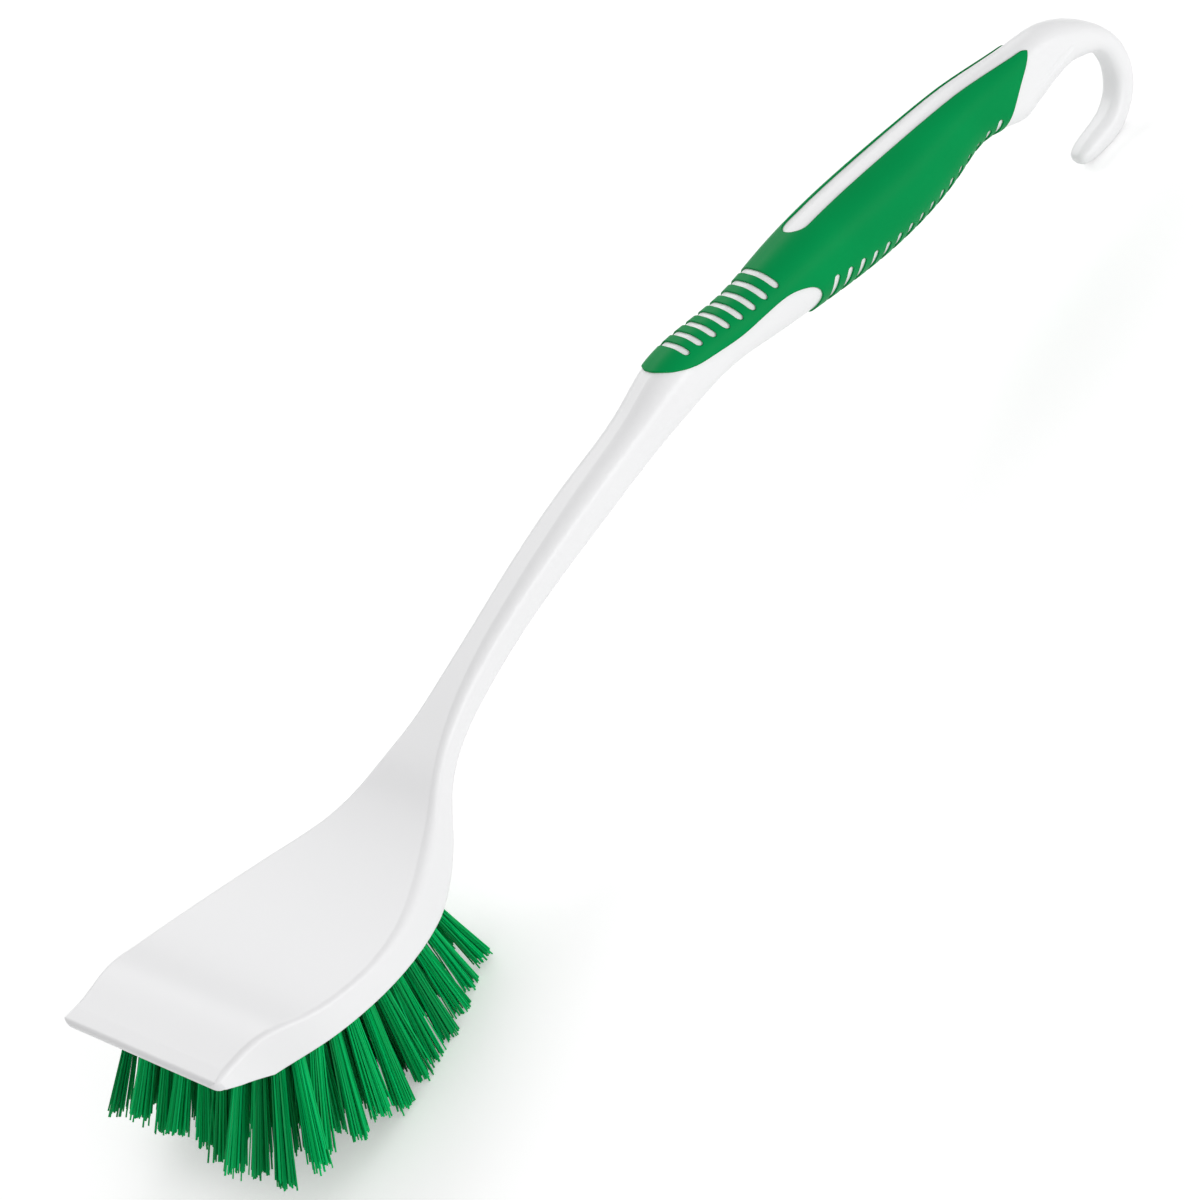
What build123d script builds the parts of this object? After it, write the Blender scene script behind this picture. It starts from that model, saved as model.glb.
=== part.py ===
"""Dish brush: one white moulded body, a soft grip moulded over its handle, and rows of anchored tufts.

+X runs from the scraper lip to the hook, +Y across the brush, and +Z up. The brush lies as it does
on a table, on the tips of its tufts and on the bend of its hook. Lengths are in millimetres and
angles in degrees. The origin is at the bottom centre of the whole brush.
"""
from build123d import *
from math import cos, radians, sin, tan
import os

# Head: the wide flat plate with a scraper lip in front and the tuft face below
HEAD_LENGTH = 81.3
HEAD_WIDTH = 64.7
HEAD_DEPTH = 8.4
BEVEL_LENGTH = 14.7
BEVEL_HEIGHT = 36.8
LIP_HEIGHT = 36.4
LIP_THICKNESS = 2.5
LIP_REACH = 4.4
LIP_UNDERCUT = 2.4
LIP_CORNER = 3.0
BLOCK_START = 7.7
BLOCK_DROP = 2.0
FACE_START = 10.8
FACE_HEIGHT = 27.4
FACE_TILT = 12.1
FACE_LENGTH = 52.2

# Neck, handle and hook
CREST_HEIGHT = 43.0
NECK_LENGTH = 93.3
NECK_WIDTH = 12.2
NECK_DEPTH = 9.2
GRIP_LENGTH = 97.2
GRIP_WIDTH = 18.7
GRIP_DEPTH = 18.9
SHOULDER_TURN = 16.0
HOOK_RADIUS = 11.6
HOOK_REACH = 14.4
HOOK_WIDTH = 8.0
HOOK_BAND = 4.6
HOOK_TAIL = 8.4
HOOK_TIP_LIFT = 0.1
HOOK_TIP_TURN = 182.0
FLUTE_LENGTH = 24.0
FLUTE_RADIUS = 1.7
FLUTE_DEPTH = 0.5
FLUTE_REACH = 9.2
FLUTE_HEIGHT = 24.6
FLUTE_TURN = 5.0

# Soft grip: how far it stands proud of the white handle and how deep it is let in
GRIP_PROUD = 0.4
GRIP_INSET = 1.3
GRIP_NOSE = 6.5
GRIP_TAIL_ROUND = 2.4

# Windows in the grip, where the white core shows
SLOT_COUNT = 8
SLOT_WIDTH = 1.5
SLOT_LENGTH = 10.4
SLOT_GROWTH = 0.45
SLOT_PITCH = 3.38
SLOT_START = 6.3
SLOT_LIFT = 2.4
STRIPE_WIDTH = 7.3
STRIPE_START = 41.3
STRIPE_FLOOR = 31.0
SLIT_WIDTH = 1.5
SLIT_RISE = 6.3
SLIT_LENGTH = 15.0
SLIT_PITCH = 3.38
SLIT_START = 41.3
SLIT_LEAN = 38.0

# Tufts: rows of drilled holes, the slice of the face that each row stands in, and their anchors
ROW_PITCH = 4.4
ROW_START = 2.6
TUFT_COUNTS = (9, 9, 9, 9, 9, 8, 8, 7, 6, 6, 5, 4)
RIM_WIDTH = 1.7
SLICE_THICKNESS = 1.2
HOLE_RADIUS = 1.5
HOLE_DEPTH = 5.4
ROOT_CLEARANCE = 0.05
TUFT_LENGTH = 23.0
STRAND_THICKNESS = 0.75
STRAND_RING = 0.95
TUFT_SPREAD = 2.3
FRONT_LEAN = 33.0
REAR_LEAN = -14.0
SIDE_LEAN = 12.0
ANCHOR_LENGTH = 2.7
ANCHOR_HEIGHT = 1.5
ANCHOR_THICKNESS = 0.4
ANCHOR_LIFT = 0.9

# Sections of the body: place along its zone, height of the centre, width, depth and roundness
HEAD_STATION_SHARES = (
    (0.000, 0.773, 0.903, 0.774, 0.40),
    (0.080, 0.744, 0.884, 1.052, 0.30),
    (0.155, 0.720, 0.912, 1.274, 0.24),
    (0.202, 0.703, 0.943, 1.245, 0.25),
    (0.271, 0.664, 0.985, 1.083, 0.27),
    (0.362, 0.614, 1.000, 1.000, 0.28),
    (0.472, 0.567, 0.974, 0.952, 0.32),
    (0.592, 0.527, 0.889, 1.012, 0.36),
    (0.700, 0.502, 0.757, 1.167, 0.38),
    (0.807, 0.506, 0.592, 1.226, 0.42),
    (0.904, 0.560, 0.451, 1.071, 0.46),
)
NECK_STATION_SHARES = (
    (0.000, 0.653, 1.689, 0.717, 0.54),
    (0.090, 0.721, 1.164, 0.639, 0.65),
    (0.200, 0.782, 0.899, 0.705, 0.7),
    (0.310, 0.831, 0.818, 0.767, 0.74),
    (0.490, 0.895, 0.867, 0.865, 0.78),
    (0.710, 0.943, 0.903, 1.010, 0.82),
    (0.900, 0.976, 0.943, 1.133, 0.86),
)
GRIP_STATION_SHARES = (
    (0.000, 1.000, 0.707, 0.650, 0.9),
    (0.140, 0.975, 0.681, 0.631, 0.92),
    (0.249, 0.921, 0.728, 0.677, 0.92),
    (0.350, 0.889, 0.843, 0.797, 0.92),
    (0.459, 0.853, 0.939, 0.917, 0.92),
    (0.574, 0.813, 0.974, 0.975, 0.92),
    (0.689, 0.780, 0.958, 0.948, 0.92),
    (0.808, 0.761, 0.848, 0.839, 0.92),
    (0.914, 0.739, 0.728, 0.738, 0.92),
    (1.000, 0.666, 0.641, 0.834, 0.92),
)
# Sections of the hook: share of the half turn, radius, width, depth and roundness
HOOK_STATION_SHARES = (
    (0.137, 1.038, 1.130, 2.085, 0.92),
    (0.253, 1.019, 1.056, 1.676, 0.92),
    (0.385, 1.080, 0.954, 1.158, 0.92),
    (0.512, 1.083, 0.880, 1.130, 0.92),
    (0.652, 1.046, 0.900, 1.080, 0.92),
    (0.790, 1.014, 0.875, 1.050, 0.92),
    (0.930, 1.000, 0.860, 1.090, 0.92),
)
SHOULDER_SHARES = (0.403, 0.635, 1.279, 3.200, 0.92)
# Sections of the hook's tail and its round tip: place along the tail, width, depth and roundness
HOOK_TIP_SHARES = (
    (0.45, 0.800, 1.000, 0.96),
    (0.78, 0.700, 0.800, 0.96),
    (0.93, 0.540, 0.620, 0.96),
    (1.0, 0.250, 0.280, 0.96),
)
# Lower edge of the grip in side view, from its tip to the hollow under the thumb: place and height
GRIP_EDGE_SHARES = (
    (-0.001, 1.181), (-0.011, 1.149), (-0.007, 1.130), (0.009, 1.112), (0.035, 1.081), (0.068, 1.047),
    (0.108, 1.018), (0.148, 0.990), (0.185, 0.970), (0.224, 0.959), (0.263, 0.951), (0.296, 0.943),
    (0.322, 0.929), (0.348, 0.900), (0.367, 0.865), (0.376, 0.817), (0.372, 0.779), (0.360, 0.751),
    (0.347, 0.721),
)

# Slanted rear edge of the grip in side view, from the underside to the top
GRIP_REAR_SHARES = (
    (0.915, 0.515), (0.940, 0.556), (0.963, 0.597), (1.007, 0.649), (1.058, 0.704), (1.090, 0.738),
    (1.105, 0.760), (1.112, 0.783), (1.109, 0.808), (1.098, 0.838), (1.088, 0.864),
)

# How high each slit of the finger rest climbs up the side, from the thumb to the hook
SLIT_RISE_SHARES = (
    1.0, 0.94, 0.89, 0.80, 0.75, 0.69, 0.64, 0.62, 0.62, 0.60, 0.58, 0.56, 0.54, 0.52, 0.52, 0.72,
)

# Length of the tufts in each row, from the front to the back
TUFT_LENGTH_SHARES = (1.0, 0.99, 0.98, 0.98, 0.98, 0.98, 0.98, 0.945, 0.90, 0.84, 0.76, 0.68)
# Length of the strands of one tuft: the middle one and the four round it
STRAND_LENGTH_SHARES = (1.0, 0.97, 0.985, 0.96, 0.99)
# Where the strands of a tuft stand about its axis, as shares of its ring at the root and at the tip
STRAND_PLACE_SHARES = ((0, 0), (0.7, 0.7), (-0.7, 0.7), (-0.7, -0.7), (0.7, -0.7))

NECK_START = HEAD_LENGTH
GRIP_START = NECK_START + NECK_LENGTH
HOOK_START = GRIP_START + GRIP_LENGTH
HOOK_CENTRE = Vector(HOOK_START + HOOK_REACH, 0, HOOK_RADIUS + HOOK_BAND / 2)
BODY_REACH = HOOK_CENTRE.X + HOOK_RADIUS + HOOK_BAND
SIDE_PLANE = Plane.XZ


def section(x, height, turn, width, depth, roundness):
    """One rounded section of the body, square to its run, which has turned down by an angle."""
    heading = Vector(cos(radians(turn)), 0, -sin(radians(turn)))
    plane = Plane(origin=(x, 0, height), x_dir=(0, 1, 0), z_dir=heading)
    return plane * RectangleRounded(width, depth, roundness * min(width, depth) / 2)


def zone_rows(start, length, width, depth, shares):
    """Sections of one zone of the body, from its table of shares."""
    return [
        (start + along * length, height * CREST_HEIGHT, 0, wide * width, deep * depth, roundness)
        for along, height, wide, deep, roundness in shares
    ]


def hook_rows():
    """Sections from the shoulder of the hook round its half turn to its tail."""
    along, height, wide, deep, roundness = SHOULDER_SHARES
    rows = [(
        HOOK_START + along * HOOK_REACH, height * CREST_HEIGHT, SHOULDER_TURN,
        wide * HOOK_WIDTH, deep * HOOK_BAND, roundness,
    )]
    for share, reach, wide, deep, roundness in HOOK_STATION_SHARES:
        turn = share * 180
        x = HOOK_CENTRE.X + reach * HOOK_RADIUS * sin(radians(turn))
        z = HOOK_CENTRE.Z + reach * HOOK_RADIUS * cos(radians(turn))
        rows.append((x, z, turn, wide * HOOK_WIDTH, deep * HOOK_BAND, roundness))
    for along, wide, deep, roundness in HOOK_TIP_SHARES:
        rows.append((
            HOOK_CENTRE.X - along * HOOK_TAIL, HOOK_BAND / 2 + along * HOOK_TIP_LIFT,
            HOOK_TIP_TURN, wide * HOOK_WIDTH, deep * HOOK_BAND, roundness,
        ))
    return rows


HEAD_ROWS = zone_rows(0, HEAD_LENGTH, HEAD_WIDTH, HEAD_DEPTH, HEAD_STATION_SHARES)
NECK_ROWS = zone_rows(NECK_START, NECK_LENGTH, NECK_WIDTH, NECK_DEPTH, NECK_STATION_SHARES)
GRIP_ROWS = zone_rows(GRIP_START, GRIP_LENGTH, GRIP_WIDTH, GRIP_DEPTH, GRIP_STATION_SHARES)
HOOK_ROWS = hook_rows()
# The sections that the grip runs over, and a little past at both ends
GRIP_RUN = NECK_ROWS[-2:] + GRIP_ROWS + HOOK_ROWS[:4]


def loft_rows(rows, growth=0):
    """A smooth solid through the sections, each one grown all round by the same amount."""
    faces = [
        section(x, z, turn, width + 2 * growth, depth + 2 * growth, roundness)
        for x, z, turn, width, depth, roundness in rows
    ]
    return loft(faces)


def face_z(x):
    """Height of the tuft face above the table."""
    return FACE_HEIGHT - (x - FACE_START) * tan(radians(FACE_TILT))


def side_prism(outline, width):
    """A solid with this outline in side view, as wide as asked to each side of the middle."""
    return extrude(SIDE_PLANE * make_face(outline), amount=width, both=True)


def scraper_keep():
    """Side view of what stays at the front: round lip, its flat top, undercut and tuft face."""
    nose = LIP_THICKNESS / 2
    lip_floor = LIP_HEIGHT - LIP_THICKNESS
    face_end = FACE_START + FACE_LENGTH
    far = BODY_REACH + HEAD_WIDTH
    high = CREST_HEIGHT + HEAD_WIDTH
    bevel = Line((BEVEL_LENGTH, BEVEL_HEIGHT), (nose, LIP_HEIGHT))
    lip = ThreePointArc((nose, LIP_HEIGHT), (0, LIP_HEIGHT - nose), (nose, lip_floor))
    under = Polyline(
        (nose, lip_floor),
        (LIP_REACH, lip_floor - LIP_UNDERCUT),
        (BLOCK_START, FACE_HEIGHT + BLOCK_DROP),
        (FACE_START, FACE_HEIGHT),
        (face_end, face_z(face_end)),
        (face_end, -high),
        (far, -high),
        (far, high),
        (BEVEL_LENGTH, high),
        (BEVEL_LENGTH, BEVEL_HEIGHT),
    )
    return bevel + lip + under


def corner_cutters(x, half, along, outward):
    """Cutters that round two corners seen from above, whose arcs are centred along and outward."""
    radius = abs(along)
    cutters = []
    for side in (-1, 1):
        square = Pos(x, side * half) * Rectangle(2 * radius, 2 * radius)
        disc = Pos(x + along, side * (half + outward)) * Circle(radius)
        cutters.append(extrude(square - disc, amount=CREST_HEIGHT + GRIP_DEPTH))
    return cutters


def flute_cutters():
    """Long shallow hollows, one on each side of the hook's shoulder."""
    half = SHOULDER_SHARES[2] * HOOK_WIDTH / 2
    cutters = []
    for side in (-1, 1):
        place = Pos(HOOK_START + FLUTE_REACH, side * (half + FLUTE_RADIUS - FLUTE_DEPTH), FLUTE_HEIGHT)
        grown = scale(Sphere(FLUTE_RADIUS), by=(FLUTE_LENGTH / (2 * FLUTE_RADIUS), 1, 1))
        cutters.append(place * Rot(0, 0, -side * FLUTE_TURN) * grown)
    return cutters


def grip_outline(shares):
    """Places along one edge of the grip in side view."""
    return [
        (GRIP_START + along * GRIP_LENGTH, height * CREST_HEIGHT) for along, height in shares
    ]


def grip_zone():
    """Side view of the green grip: its curved lower edge, its underside and its slanted end."""
    edge = grip_outline(GRIP_EDGE_SHARES)
    rear = grip_outline(GRIP_REAR_SHARES)
    low = -GRIP_DEPTH
    high = CREST_HEIGHT + GRIP_DEPTH
    under = Polyline(edge[-1], (edge[-1][0], low), (rear[0][0], low), rear[0])
    over = Polyline(rear[-1], (rear[-1][0], high), (edge[0][0], high), edge[0])
    return Spline(*edge) + under + Spline(*rear) + over


def slot_windows():
    """Cutters of the thumb rest: short slots across the top of the handle."""
    cutters = []
    for index in range(SLOT_COUNT):
        along = SLOT_START + index * SLOT_PITCH
        base = centre_and_depth(along)[0] + SLOT_LIFT
        length = SLOT_LENGTH + index * SLOT_GROWTH
        outline = Pos(GRIP_START + along, 0, base) * SlotOverall(length, SLOT_WIDTH, rotation=90)
        cutters.append(extrude(outline, amount=GRIP_DEPTH))
    return cutters


def stripe_window():
    """Cutter of the stripe along the top, round at its front and open at the hook."""
    start = GRIP_START + STRIPE_START
    length = HOOK_START + HOOK_REACH * 2 - start
    outline = Pos(start + length / 2, 0, STRIPE_FLOOR) * SlotOverall(length, STRIPE_WIDTH)
    return extrude(outline, amount=CREST_HEIGHT)


def slit_windows():
    """Cutters of the finger rest: slits across the underside, leaning to the hook as they rise."""
    cutters = []
    for index, share in enumerate(SLIT_RISE_SHARES):
        along = SLIT_START + index * SLIT_PITCH
        centre, depth = centre_and_depth(along)
        top = centre - depth / 2 + share * SLIT_RISE
        middle = (
            GRIP_START + along - SLIT_LENGTH / 2 * sin(radians(SLIT_LEAN)),
            top - SLIT_LENGTH / 2 * cos(radians(SLIT_LEAN)),
        )
        shape = SlotOverall(SLIT_LENGTH, SLIT_WIDTH, rotation=90 - SLIT_LEAN)
        cutters.append(extrude(SIDE_PLANE * Pos(*middle) * shape, amount=GRIP_WIDTH, both=True))
    return cutters


def centre_and_depth(along):
    """Height of the handle's centre and its depth at a place along the grip."""
    for before, after in zip(GRIP_ROWS, GRIP_ROWS[1:]):
        if GRIP_START + along <= after[0]:
            break
    share = (GRIP_START + along - before[0]) / (after[0] - before[0])
    return tuple(before[place] + share * (after[place] - before[place]) for place in (1, 4))


def half_width(x):
    """Half the width of the head at a place along it, between its sections."""
    rows = [(row[0], row[3] / 2) for row in HEAD_ROWS + NECK_ROWS]
    for (x0, w0), (x1, w1) in zip(rows, rows[1:]):
        if x <= x1:
            return w0 + (w1 - w0) * (x - x0) / (x1 - x0)
    return rows[-1][1]


# Directions of the tuft face: along it, across it and out of it
FACE_ALONG = Vector(cos(radians(FACE_TILT)), 0, -sin(radians(FACE_TILT)))
FACE_ACROSS = Vector(0, 1, 0)
FACE_OUT = Vector(-sin(radians(FACE_TILT)), 0, -cos(radians(FACE_TILT)))
FACE_ORIGIN = Vector(FACE_START, 0, face_z(FACE_START))
FACE_PLANE = Plane(origin=FACE_ORIGIN, x_dir=FACE_ALONG, z_dir=FACE_OUT)
ROW_COUNT = len(TUFT_COUNTS)


def face_point(along, across):
    """A point of the tuft face."""
    return FACE_ORIGIN + FACE_ALONG * along + FACE_ACROSS * across


def strip_half_width(along):
    """Half the length of a strip's edge at a place along the face, inside the head's rim."""
    return half_width(face_point(along, 0).X) - RIM_WIDTH


def row_slice(index):
    """The slice of the face that one row of tufts stands in."""
    low = ROW_START + (index - 0.5) * ROW_PITCH
    high = low + ROW_PITCH
    low_half, high_half = strip_half_width(low), strip_half_width(high)
    outline = Polyline(
        (low, -low_half), (high, -high_half), (high, high_half), (low, low_half), (low, -low_half)
    )
    face = FACE_PLANE * make_face(outline)
    return extrude(face, amount=-SLICE_THICKNESS, dir=FACE_OUT)


def row_tufts(index):
    """Root and direction of each tuft of one row."""
    count = TUFT_COUNTS[index]
    along = ROW_START + index * ROW_PITCH
    half = strip_half_width(along + ROW_PITCH / 2) - HOLE_RADIUS - RIM_WIDTH / 2
    lean = FRONT_LEAN + (REAR_LEAN - FRONT_LEAN) * index / (ROW_COUNT - 1)
    widest = HEAD_WIDTH / 2
    tufts = []
    for place in range(count):
        across = half * (2 * place / (count - 1) - 1)
        side = SIDE_LEAN * across / widest
        aim = FACE_OUT - FACE_ALONG * tan(radians(lean)) + FACE_ACROSS * tan(radians(side))
        tufts.append((face_point(along, across), aim.normalized()))
    return tufts


def tuft_frame(root, aim):
    """A frame at a tuft's root: Z down the tuft, Y across the brush as near as it goes."""
    return Plane(origin=root, x_dir=FACE_ACROSS.cross(aim), z_dir=aim)


def hole(root, aim, radius):
    """A round rod from the bottom of a tuft's hole to just inside the face."""
    frame = tuft_frame(root, aim)
    rod = Cylinder(radius, HOLE_DEPTH, align=(Align.CENTER, Align.CENTER, Align.MAX))
    return frame * Pos(0, 0, -SLICE_THICKNESS / 2) * rod


def anchor(root, aim):
    """The flat metal anchor that pins a folded tuft near the bottom of its hole."""
    frame = tuft_frame(root, aim)
    depth = SLICE_THICKNESS / 2 + HOLE_DEPTH - ANCHOR_LIFT - ANCHOR_HEIGHT / 2
    plate = Box(ANCHOR_THICKNESS, ANCHOR_LENGTH, ANCHOR_HEIGHT)
    return frame * Pos(0, 0, -depth) * plate


def strand(root, aim, offset, length):
    """One four-sided strand, from inside the slice to its cut tip, leaning outwards."""
    frame = tuft_frame(root, aim)
    x, y = offset
    inside = SLICE_THICKNESS / 2
    start = frame * Pos(x * STRAND_RING, y * STRAND_RING, -inside)
    tip = frame * Pos(x * TUFT_SPREAD, y * TUFT_SPREAD, length)
    square = Rectangle(STRAND_THICKNESS, STRAND_THICKNESS)
    return loft([start * square, tip * square], ruled=True)


def bristle_row(index):
    """One row of tufts: the roots in their holes, the slice and the strands, as one solid."""
    length = TUFT_LENGTH * TUFT_LENGTH_SHARES[index]
    pieces = []
    anchors = []
    for root, aim in row_tufts(index):
        pieces.append(hole(root, aim, HOLE_RADIUS - ROOT_CLEARANCE))
        anchors.append(anchor(root, aim))
        for offset, share in zip(STRAND_PLACE_SHARES, STRAND_LENGTH_SHARES):
            pieces.append(strand(root, aim, offset, length * share))
    row = row_slice(index).fuse(*pieces)
    if index + 1 < ROW_COUNT:
        row = row - row_slice(index + 1)
    return row - anchors - table()


def table():
    """What lies below the table, which trims the lowest tips."""
    size = BODY_REACH + HEAD_WIDTH
    return Pos(BODY_REACH / 2, 0, 0) * Box(
        2 * size, size, size, align=(Align.CENTER, Align.CENTER, Align.MAX)
    )


def grip_sleeve():
    """The space between the handle's core and the grip's edges, with the windows left white."""
    nose_x = grip_outline(GRIP_EDGE_SHARES)[1][0]
    nose = corner_cutters(nose_x, GRIP_NOSE, GRIP_NOSE, -GRIP_NOSE)
    zone = side_prism(grip_zone(), GRIP_WIDTH) - nose
    tail_x = max(x for x, z in grip_outline(GRIP_REAR_SHARES))
    tail = corner_cutters(tail_x, STRIPE_WIDTH / 2, -GRIP_TAIL_ROUND, GRIP_TAIL_ROUND)
    core = loft_rows(GRIP_RUN, -GRIP_INSET)
    return zone - (slot_windows() + [stripe_window()] + slit_windows() + tail + [core])


def white_body(sleeve, tufts):
    """The white body: its lip, the pocket that the grip fills, and the drilled face."""
    shell = loft_rows(HEAD_ROWS + NECK_ROWS + GRIP_ROWS + HOOK_ROWS)
    lip_half = HEAD_ROWS[0][3] / 2
    corners = corner_cutters(0, lip_half, LIP_CORNER, -LIP_CORNER)
    shell = (shell & side_prism(scraper_keep(), HEAD_WIDTH)) - corners
    slices = [row_slice(index) for index in range(ROW_COUNT)]
    holes = [hole(root, aim, HOLE_RADIUS) for root, aim in tufts]
    return shell - flute_cutters() - sleeve - (slices + holes)


def main():
    """Builds every piece, moves the brush onto its origin and writes one file for each node."""
    os.makedirs("parts", exist_ok=True)
    tufts = [tuft for index in range(ROW_COUNT) for tuft in row_tufts(index)]
    sleeve = grip_sleeve()
    nodes = {
        "brush_body": white_body(sleeve, tufts),
        "grip": loft_rows(GRIP_RUN, GRIP_PROUD) & sleeve,
        "tuft_anchors": Compound(children=[anchor(root, aim) for root, aim in tufts]),
    }
    for index in range(ROW_COUNT):
        nodes[f"bristle_row_{index + 1:02d}"] = bristle_row(index)
    boxes = [shape.bounding_box() for shape in nodes.values()]
    front = min(box.min.X for box in boxes)
    back = max(box.max.X for box in boxes)
    lowest = min(box.min.Z for box in boxes)
    move = Pos(-(front + back) / 2, 0, -lowest)
    for name, shape in nodes.items():
        export_step(move * shape, f"parts/{name}.step")


if __name__ == "__main__":
    main()
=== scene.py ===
"""Dish brush: white moulded body, green soft grip and dense rows of anchored tufts, in a pale studio.

+X runs from the scraper lip to the hook, +Y across the brush and +Z up from the table. Sizes are
in millimetres and are turned to metres where a mesh, a lamp or the camera is made.
"""
import logging
import random
from dataclasses import dataclass
from enum import Enum
from math import cos, pi, radians, sin, sqrt, tan

import bpy
from mathutils import Matrix, Vector


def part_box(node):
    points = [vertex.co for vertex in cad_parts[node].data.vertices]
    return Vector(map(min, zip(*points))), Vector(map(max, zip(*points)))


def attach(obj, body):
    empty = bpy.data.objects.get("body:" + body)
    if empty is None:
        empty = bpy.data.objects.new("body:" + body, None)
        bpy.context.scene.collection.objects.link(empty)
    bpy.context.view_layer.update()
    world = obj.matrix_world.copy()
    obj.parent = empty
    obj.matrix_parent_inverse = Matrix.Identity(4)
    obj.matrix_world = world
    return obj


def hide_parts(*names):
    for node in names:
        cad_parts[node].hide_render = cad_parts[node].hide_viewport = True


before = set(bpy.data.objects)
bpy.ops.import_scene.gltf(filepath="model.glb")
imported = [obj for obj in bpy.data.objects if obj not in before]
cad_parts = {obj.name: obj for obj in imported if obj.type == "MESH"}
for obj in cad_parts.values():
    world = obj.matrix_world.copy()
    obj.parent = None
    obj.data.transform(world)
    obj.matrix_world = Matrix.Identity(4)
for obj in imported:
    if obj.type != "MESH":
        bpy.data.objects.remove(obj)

LOG = logging.getLogger("dish_brush")
MM = 0.001
SEED = 20
# Sockets of the mix node that carry colours
MIX_COLOUR_A = 6
MIX_COLOUR_B = 7
MIX_COLOUR_OUT = 2
# Sockets of the mix node that carry plain values
MIX_VALUE_A = 2
MIX_VALUE_B = 3
MIX_VALUE_OUT = 0
TUFT_TONE = "tuft_tone"
STRAND_SIDES = 4
# Turn from one strand to the next that spreads them evenly over a round hole
GOLDEN_ANGLE = pi * (3 - sqrt(5))


class Where(Enum):
    """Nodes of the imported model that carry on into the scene."""

    BODY = "brush_body"
    GRIP = "grip"
    ANCHORS = "tuft_anchors"


def linear(hex_colour: str) -> tuple[float, float, float, float]:
    """Turns an sRGB hex colour to linear.

    Args:
        hex_colour: six hex digits, such as "FFFFFF".

    Returns:
        Linear red, green, blue and an alpha of one.
    """
    parts = [int(hex_colour[place:place + 2], 16) / 255 for place in (0, 2, 4)]
    red, green, blue = (p / 12.92 if p <= 0.04045 else ((p + 0.055) / 1.055) ** 2.4 for p in parts)
    return red, green, blue, 1.0


def add_node(
    tree: bpy.types.NodeTree, kind: str, inputs: dict | None = None, **settings
) -> bpy.types.Node:
    """Adds one node with its settings, values and links.

    Args:
        tree: the node tree that gets the node.
        kind: Blender's name of the node's type.
        inputs: socket name or number to a value, or to the output socket that feeds it.
        settings: properties of the node.

    Returns:
        The new node.
    """
    node = tree.nodes.new(kind)
    for name, value in settings.items():
        setattr(node, name, value)
    for socket, value in (inputs or {}).items():
        if isinstance(value, bpy.types.NodeSocket):
            tree.links.new(value, node.inputs[socket])
        else:
            node.inputs[socket].default_value = value
    return node


def new_material(name: str) -> tuple[bpy.types.Material, bpy.types.NodeTree, bpy.types.Node]:
    """Makes an empty material.

    Args:
        name: the material's name.

    Returns:
        The material, its node tree and its shader node.
    """
    material = bpy.data.materials.new(name)
    material.use_nodes = True
    tree = material.node_tree
    return material, tree, tree.nodes["Principled BSDF"]


@dataclass(frozen=True)
class GlossyPolypropylene:
    """White polypropylene, injection moulded in a polished tool: a soft gloss, faintly wavy."""

    colour: str = "F4F4F5"
    roughness: float = 0.3
    wave_mm: float = 14.0
    wave_height_mm: float = 0.012
    edge_mm: float = 0.3
    glow_through: float = 0.06
    glow_depth_mm: float = 1.2

    def material(self) -> bpy.types.Material:
        """Builds the material.

        Returns:
            The white plastic. Its slow bump gives highlights the slight drift of a moulded face, and
            its edges catch the light as edges do that a cutter's radius has left round.
        """
        material, tree, shader = new_material("polypropylene_white_moulded")
        place = add_node(tree, "ShaderNodeTexCoord")
        edge = add_node(tree, "ShaderNodeBevel", {"Radius": self.edge_mm * MM}, samples=6)
        wave = add_node(tree, "ShaderNodeTexNoise", {
            "Vector": place.outputs["Object"], "Scale": 1 / (self.wave_mm * MM), "Detail": 1.0,
        })
        bump = add_node(tree, "ShaderNodeBump", {
            "Height": wave.outputs["Fac"], "Distance": self.wave_height_mm * MM, "Strength": 1.0,
            "Normal": edge.outputs["Normal"],
        })
        shader.inputs["Base Color"].default_value = linear(self.colour)
        shader.inputs["Roughness"].default_value = self.roughness
        shader.inputs["IOR"].default_value = 1.49
        shader.inputs["Subsurface Weight"].default_value = self.glow_through
        shader.inputs["Subsurface Radius"].default_value = [self.glow_depth_mm * MM] * 3
        tree.links.new(bump.outputs["Normal"], shader.inputs["Normal"])
        return material


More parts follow.
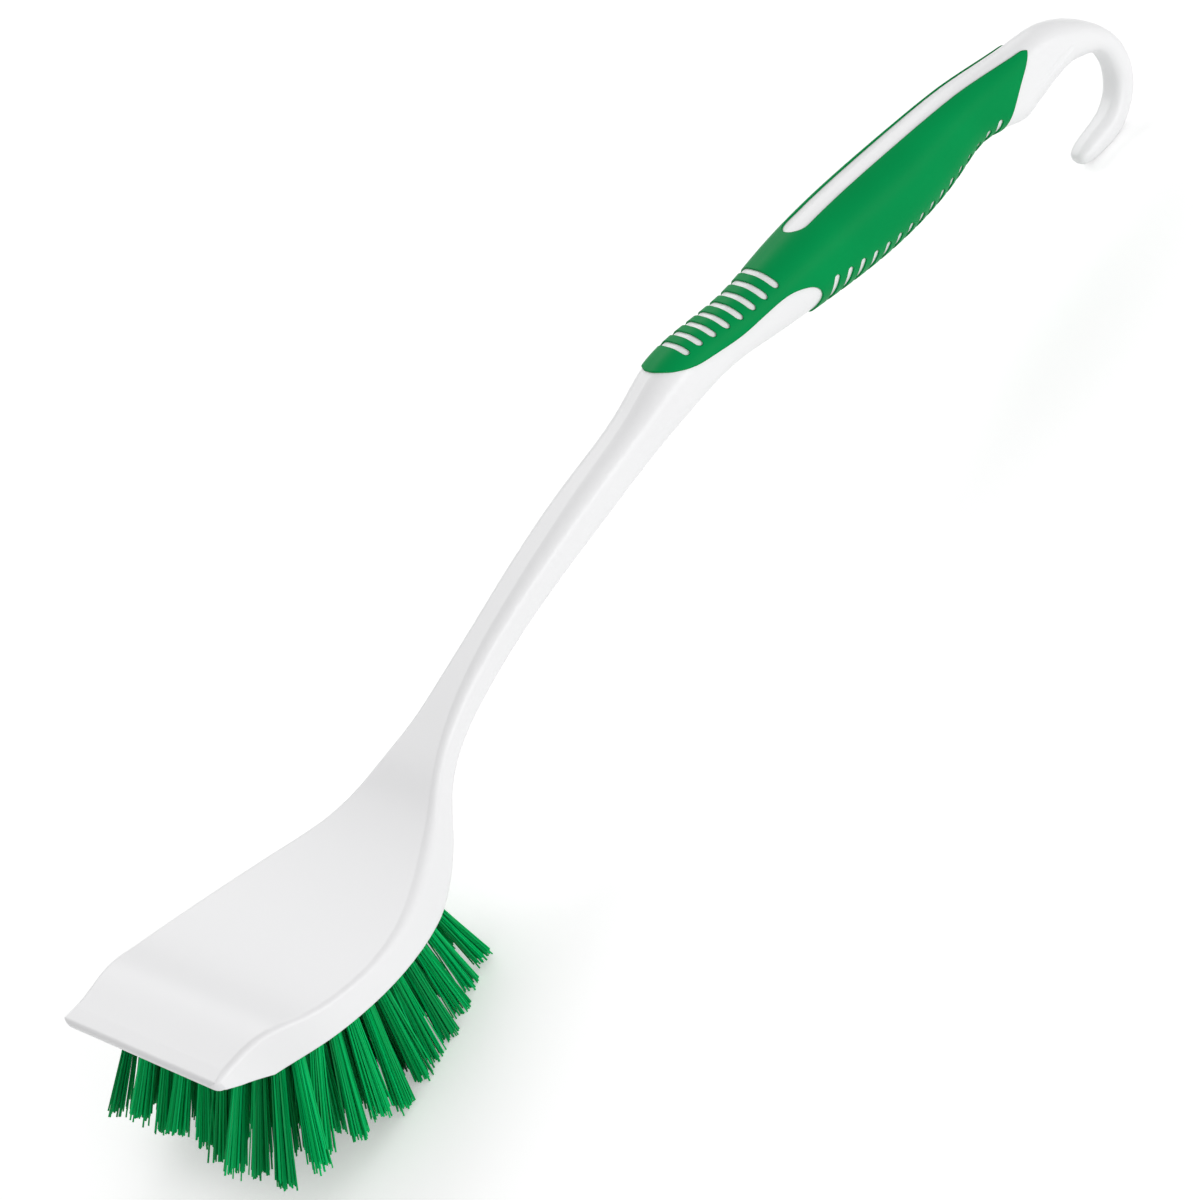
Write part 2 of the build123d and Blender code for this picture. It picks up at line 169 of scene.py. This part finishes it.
@dataclass(frozen=True)
class SatinRubber:
    """Green thermoplastic rubber, moulded in a sand-textured tool: soft, dull and finely grained."""

    colour: str = "009850"
    deep_colour: str = "008C49"
    roughness: float = 0.42
    grain_mm: float = 0.35
    grain_height_mm: float = 0.010
    drift_mm: float = 14.0
    edge_mm: float = 0.35

    def material(self) -> bpy.types.Material:
        """Builds the material.

        Returns:
            The green rubber. The grain breaks the shine up, the green drifts a little, and the ribs
            between the windows look as soft at their edges as moulded rubber is.
        """
        material, tree, shader = new_material("thermoplastic_rubber_green_satin")
        place = add_node(tree, "ShaderNodeTexCoord")
        edge = add_node(tree, "ShaderNodeBevel", {"Radius": self.edge_mm * MM}, samples=6)
        grain = add_node(tree, "ShaderNodeTexNoise", {
            "Vector": place.outputs["Object"], "Scale": 1 / (self.grain_mm * MM), "Detail": 2.0,
        })
        drift = add_node(tree, "ShaderNodeTexNoise", {
            "Vector": place.outputs["Object"], "Scale": 1 / (self.drift_mm * MM), "Detail": 1.0,
        })
        colour = add_node(tree, "ShaderNodeMix", {
            "Factor": drift.outputs["Fac"], MIX_COLOUR_A: linear(self.colour),
            MIX_COLOUR_B: linear(self.deep_colour),
        }, data_type="RGBA")
        bump = add_node(tree, "ShaderNodeBump", {
            "Height": grain.outputs["Fac"], "Distance": self.grain_height_mm * MM, "Strength": 1.0,
            "Normal": edge.outputs["Normal"],
        })
        tree.links.new(colour.outputs[MIX_COLOUR_OUT], shader.inputs["Base Color"])
        tree.links.new(bump.outputs["Normal"], shader.inputs["Normal"])
        shader.inputs["Roughness"].default_value = self.roughness
        shader.inputs["IOR"].default_value = 1.5
        shader.inputs["Specular IOR Level"].default_value = 0.05
        return material


@dataclass(frozen=True)
class DrawnPolyester:
    """Green polyester strand, drawn through a die: smooth, with hardly any shine of its own."""

    # The dark tone is painted shade and the light tone painted light, spread at random over strands and
    # tufts.
    dark: str = "007C3F"
    middle: str = "00B45E"
    light: str = "0AD278"
    roughness: float = 0.36
    tuft_share: float = 0.5

    def material(self) -> bpy.types.Material:
        """Builds the material.

        Returns:
            The strands' green, which differs at random from tuft to tuft and from strand to strand;
            its dark end is painted shade and its light end painted light, as on shaded and lit strands.
        """
        material, tree, shader = new_material("polyester_green_drawn")
        strand = add_node(tree, "ShaderNodeNewGeometry")
        tuft = add_node(tree, "ShaderNodeAttribute", attribute_name=TUFT_TONE)
        tone = add_node(tree, "ShaderNodeMix", {
            "Factor": self.tuft_share, MIX_VALUE_A: strand.outputs["Random Per Island"],
            MIX_VALUE_B: tuft.outputs["Fac"],
        })
        # Painted shade and painted light: a random tone per strand and per tuft picks between shaded and
        # lit greens.
        ramp = add_node(tree, "ShaderNodeValToRGB", {"Fac": tone.outputs[MIX_VALUE_OUT]})
        stops = ramp.color_ramp.elements
        stops[0].color = linear(self.dark)
        stops[1].color = linear(self.light)
        stops.new(0.5).color = linear(self.middle)
        tree.links.new(ramp.outputs["Color"], shader.inputs["Base Color"])
        shader.inputs["Roughness"].default_value = self.roughness
        shader.inputs["IOR"].default_value = 1.57
        shader.inputs["Specular IOR Level"].default_value = 0.06
        return material


@dataclass(frozen=True)
class StampedSteel:
    """Stainless strip, rolled and stamped: a plain grey metal with a dull edge."""

    colour: str = "B9BABD"
    roughness: float = 0.35
    line_mm: float = 0.2
    line_height_mm: float = 0.01

    def material(self) -> bpy.types.Material:
        """Builds the material.

        Returns:
            The anchors' metal, with rolling lines across it.
        """
        material, tree, shader = new_material("stainless_strip_stamped")
        place = add_node(tree, "ShaderNodeTexCoord")
        lines = add_node(tree, "ShaderNodeTexWave", {
            "Vector": place.outputs["Object"], "Scale": 1 / (self.line_mm * MM),
        })
        bump = add_node(tree, "ShaderNodeBump", {
            "Height": lines.outputs["Fac"], "Distance": self.line_height_mm * MM,
        })
        tree.links.new(bump.outputs["Normal"], shader.inputs["Normal"])
        shader.inputs["Base Color"].default_value = linear(self.colour)
        shader.inputs["Metallic"].default_value = 1.0
        shader.inputs["Roughness"].default_value = self.roughness
        return material


@dataclass(frozen=True)
class PaperSweep:
    """White background paper: matt, and seen as plain white except where the brush shades it."""

    colour: str = "F7F7F7"
    lift: float = 0.34

    def material(self) -> bpy.types.Material:
        """Builds the material.

        Returns:
            The floor's white.
        """
        material, tree, shader = new_material("paper_white_matt")
        ray = add_node(tree, "ShaderNodeLightPath")
        seen = add_node(tree, "ShaderNodeMath", {
            0: ray.outputs["Is Camera Ray"], 1: ray.outputs["Is Glossy Ray"],
        }, operation="MAXIMUM")
        lift = add_node(tree, "ShaderNodeMath", {
            0: seen.outputs["Value"], 1: self.lift,
        }, operation="MULTIPLY")
        shader.inputs["Emission Color"].default_value = linear("FFFFFF")
        tree.links.new(lift.outputs["Value"], shader.inputs["Emission Strength"])
        shader.inputs["Base Color"].default_value = linear(self.colour)
        shader.inputs["Roughness"].default_value = 0.9
        shader.inputs["Specular IOR Level"].default_value = 0.1
        return material


@dataclass
class Moulding:
    """The white body, the green grip and the anchors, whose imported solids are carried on."""

    def build(self) -> None:
        """Gives each carried piece its finish."""
        finishes = {
            Where.BODY: GlossyPolypropylene().material(),
            Where.GRIP: SatinRubber().material(),
            Where.ANCHORS: StampedSteel().material(),
        }
        for where, material in finishes.items():
            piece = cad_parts[where.value]
            piece.data.materials.clear()
            piece.data.materials.append(material)
            LOG.info("%s is dressed in %s", piece.name, material.name)


@dataclass(frozen=True)
class HeadOutline:
    """The head's outline from above: shares of its full width at places from the lip's edge."""

    width: float = 64.7
    places: tuple[float, ...] = (0, 6.5, 12.6, 16.4, 22.0, 29.4, 38.4, 48.1, 56.9, 65.6, 73.5)
    width_shares: tuple[float, ...] = (
        0.903, 0.884, 0.912, 0.943, 0.985, 1.0, 0.974, 0.889, 0.757, 0.592, 0.451,
    )

    def half_width(self, x: float) -> float:
        """Half the head's width.

        Args:
            x: place from the lip's edge, in millimetres.

        Returns:
            Half the width there, in millimetres.
        """
        rows = list(zip(self.places, self.width_shares))
        for (before, low), (after, high) in zip(rows, rows[1:]):
            if x <= after:
                return self.width / 2 * (low + (high - low) * (x - before) / (after - before))
        return self.width / 2 * self.width_shares[-1]


@dataclass
class TuftField:
    """The rows of tufts under the head. Every tuft is a bundle of fine strands from one hole.

    Lengths are in millimetres and leans in degrees. Stray is how far a tuft leans off its course,
    as a slope, and uneven how much lengths differ, as a share. Drift is how far a tip wanders,
    bulge how much a strand bows towards its tuft's middle and bend how soon it follows its tip.
    """

    face_start: float = 10.8
    face_height: float = 27.4
    face_tilt: float = 12.1
    row_pitch: float = 4.4
    row_start: float = 2.6
    counts: tuple[int, ...] = (9, 9, 9, 9, 9, 8, 8, 7, 6, 6, 5, 4)
    length: float = 23.0
    length_shares: tuple[float, ...] = (
        1.0, 0.99, 0.98, 0.98, 0.98, 0.98, 0.98, 0.945, 0.90, 0.84, 0.76, 0.68,
    )
    front_lean: float = 33.0
    rear_lean: float = -14.0
    side_lean: float = 12.0
    hole_radius: float = 1.5
    edge_gap: float = 2.55
    strands: int = 44
    strand_width: float = 0.40
    tip_spread: float = 2.35
    sink: float = 0.8
    stray: float = 0.04
    uneven: float = 0.032
    drift: float = 0.28
    spread_range: tuple[float, float] = (0.85, 1.12)
    bulge: float = 0.07
    bend: float = 0.3
    outline: HeadOutline = HeadOutline()

    def half_width(self, along: float) -> float:
        """Half the length of a row, from the head's outline.

        Args:
            along: place along the tuft face, in millimetres.

        Returns:
            How far the row's outermost tuft stands from the middle, in millimetres.
        """
        x = self.face_start + along * cos(radians(self.face_tilt))
        return self.outline.half_width(x) - self.edge_gap - self.hole_radius

    def build(self) -> None:
        """Makes each row as one piece that stands for the row's solid."""
        material = DrawnPolyester().material()
        chance = random.Random(SEED)
        for index, count in enumerate(self.counts):
            points, faces, tones = [], [], []
            for root, aim in self.row_tufts(index, count):
                self.add_tuft(points, faces, root, aim, self.length * self.length_shares[index], chance)
                tones += [chance.random()] * (len(faces) - len(tones))
            name = f"tuft_row_{index + 1:02d}"
            mesh = bpy.data.meshes.new(name)
            mesh.from_pydata(points, [], faces)
            mesh.materials.append(material)
            mesh.attributes.new(TUFT_TONE, "FLOAT", "FACE").data.foreach_set("value", tones)
            piece = bpy.data.objects.new(name, mesh)
            bpy.context.scene.collection.objects.link(piece)
            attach(piece, "root")
            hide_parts(f"bristle_row_{index + 1:02d}")
            LOG.info("%s: %d tufts, %d faces", name, count, len(faces))

    def row_tufts(self, index: int, count: int) -> list[tuple[Vector, Vector]]:
        """Roots and directions of the tufts of a row.

        Args:
            index: the row's place from the front.
            count: how many tufts it has.

        Returns:
            Root and direction of each tuft, in millimetres from the lip's edge.
        """
        tilt = radians(self.face_tilt)
        face_along = Vector((cos(tilt), 0, -sin(tilt)))
        face_out = Vector((-sin(tilt), 0, -cos(tilt)))
        origin = Vector((self.face_start, 0, self.face_height))
        along = self.row_start + index * self.row_pitch
        half = self.half_width(along + self.row_pitch / 2)
        share = index / (len(self.counts) - 1)
        lean = self.front_lean + (self.rear_lean - self.front_lean) * share
        tufts = []
        for place in range(count):
            across = half * (2 * place / (count - 1) - 1)
            side = self.side_lean * across / (self.outline.width / 2)
            aim = face_out - face_along * tan(radians(lean)) + Vector((0, tan(radians(side)), 0))
            tufts.append((origin + face_along * along + Vector((0, across, 0)), aim.normalized()))
        return tufts

    def add_tuft(
        self, points: list, faces: list, root: Vector, aim: Vector, length: float, chance: random.Random
    ) -> None:
        """Adds the strands of one tuft.

        Args:
            points: the row's points so far, in metres.
            faces: the row's faces so far.
            root: the middle of the tuft's hole, in millimetres.
            aim: the tuft's direction.
            length: the tuft's length in millimetres.
            chance: the source of the small differences from strand to strand.
        """
        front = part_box(Where.BODY.value)[0].x
        across = Vector((0, 1, 0))
        side = across.cross(aim).normalized()
        across = aim.cross(side).normalized()
        inner = self.hole_radius - self.strand_width / 2
        twist = chance.uniform(0, 2 * pi)
        astray = side * chance.gauss(0, self.stray) + across * chance.gauss(0, self.stray)
        aim = (aim + astray).normalized()
        length *= 1 + chance.gauss(0, self.uneven)
        for number in range(self.strands):
            angle = number * GOLDEN_ANGLE + twist
            reach = sqrt((number + 0.5) / self.strands)
            away = side * cos(angle) + across * sin(angle)
            spread = self.tip_spread * reach * chance.uniform(*self.spread_range)
            drift = Vector((chance.gauss(0, self.drift), chance.gauss(0, self.drift), 0))
            start = root - aim * self.sink + away * inner * reach
            end = root + away * spread + drift + aim * length * (1 + chance.gauss(0, self.uneven))
            middle = (start + end) / 2 - away * spread * self.bulge + drift * self.bend
            self.add_strand(points, faces, (start, middle, end), chance.uniform(0, pi / 2), front)

    def add_strand(
        self, points: list, faces: list, places: tuple[Vector, Vector, Vector], turn: float, front: float
    ) -> None:
        """Adds one four-sided strand through its root, its middle and its tip.

        Args:
            points: the row's points so far, in metres.
            faces: the row's faces so far.
            places: the three places of its axis, in millimetres from the lip's edge.
            turn: how its corners are turned about the axis.
            front: where the lip's edge is, in metres.
        """
        start, middle, end = places
        if end.z < 0:
            end = middle + (end - middle) * (middle.z / (middle.z - end.z))
        run = (end - start).normalized()
        side = run.cross(Vector((0, 1, 0))).normalized()
        other = run.cross(side)
        base = len(points)
        for place in (start, middle, end):
            for corner in range(STRAND_SIDES):
                angle = turn + corner * 2 * pi / STRAND_SIDES
                point = place + (side * cos(angle) + other * sin(angle)) * self.strand_width / 2
                point.z = max(point.z, 0)
                points.append((point.x * MM + front, point.y * MM, point.z * MM))
        for ring in (base, base + STRAND_SIDES):
            for corner in range(STRAND_SIDES):
                after = (corner + 1) % STRAND_SIDES
                faces.append((ring + corner, ring + after,
                              ring + STRAND_SIDES + after, ring + STRAND_SIDES + corner))
        tip = base + 2 * STRAND_SIDES
        faces.append(tuple(range(tip, tip + STRAND_SIDES)))
        faces.append(tuple(reversed(range(base, base + STRAND_SIDES))))


@dataclass(frozen=True)
class SoftBox:
    """One soft lamp: its place from the brush's middle and its size in millimetres, and its glow.

    A glow of one is the brightness of a white face in full light.
    """

    name: str
    place: tuple[float, float, float]
    size: tuple[float, float]
    glow: float

    def build(self) -> None:
        """Hangs the lamp so that it looks at the brush."""
        data = bpy.data.lights.new(self.name, "AREA")
        data.shape = "RECTANGLE"
        data.size, data.size_y = (side * MM for side in self.size)
        data.energy = self.glow * pi * data.size * data.size_y
        lamp = bpy.data.objects.new(self.name, data)
        lamp.location = Vector(self.place) * MM
        lamp.rotation_euler = (-lamp.location).to_track_quat("-Z", "Y").to_euler()
        bpy.context.scene.collection.objects.link(lamp)


@dataclass
class Studio:
    """The pale floor, the soft lamps and the camera of the photograph.

    The camera's aim, its distance and the width of its view are in millimetres, its aim from the
    lip's edge. The reach of its view and the floor's width are in metres.
    """

    aim: tuple[float, float, float] = (134.72, 0.0, 22.32)
    right: tuple[float, float, float] = (0.6228, -0.5699, -0.5360)
    towards: tuple[float, float, float] = (-0.2753, -0.8009, 0.5318)
    distance: float = 1600.0
    view_width: float = 243.4
    sensor: float = 36.0
    reach: float = 10.0
    floor_width: float = 6.0
    room_glow: float = 0.54
    lamps: tuple[SoftBox, ...] = (
        SoftBox("back_lamp", (300, 1000, 700), (1300, 700), 2.1),
        SoftBox("front_lamp", (200, -1150, 260), (1500, 400), 3.5),
    )

    def build(self) -> None:
        """Makes the floor, the lamps, the world and the camera."""
        self.add_camera()
        self.add_floor()
        for lamp in self.lamps:
            lamp.build()
        self.add_world()
        bpy.context.scene.view_settings.view_transform = "Standard"

    def add_camera(self) -> None:
        """Puts the camera where the photograph was taken from."""
        data = bpy.data.cameras.new("photo_camera")
        data.sensor_width = self.sensor
        data.lens = self.sensor * self.distance / self.view_width
        data.clip_end = self.reach
        camera = bpy.data.objects.new("photo_camera", data)
        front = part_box(Where.BODY.value)[0].x
        target = Vector(self.aim) * MM + Vector((front, 0, 0))
        towards = Vector(self.towards).normalized()
        right = Vector(self.right)
        right = (right - towards * right.dot(towards)).normalized()
        up = towards.cross(right)
        turn = Matrix((right, up, towards)).transposed().to_4x4()
        camera.matrix_world = Matrix.Translation(target + towards * self.distance * MM) @ turn
        bpy.context.scene.collection.objects.link(camera)
        bpy.context.scene.camera = camera

    def add_floor(self) -> None:
        """Makes the table that the brush lies on."""
        half = self.floor_width / 2
        mesh = bpy.data.meshes.new("floor")
        points = [(-half, -half, 0), (half, -half, 0), (half, half, 0), (-half, half, 0)]
        mesh.from_pydata(points, [], [(0, 1, 2, 3)])
        mesh.materials.append(PaperSweep().material())
        floor = bpy.data.objects.new("floor", mesh)
        bpy.context.scene.collection.objects.link(floor)

    def add_world(self) -> None:
        """Gives the room a soft even light."""
        world = bpy.data.worlds.new("studio_room")
        world.use_nodes = True
        sky = world.node_tree.nodes["Background"]
        sky.inputs["Color"].default_value = linear("FFFFFF")
        sky.inputs["Strength"].default_value = self.room_glow
        bpy.context.scene.world = world


def main() -> None:
    """Builds the brush and the studio in order."""
    logging.basicConfig(level=logging.INFO)
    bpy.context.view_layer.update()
    Moulding().build()
    TuftField().build()
    Studio().build()


if __name__ == "__main__":
    main()
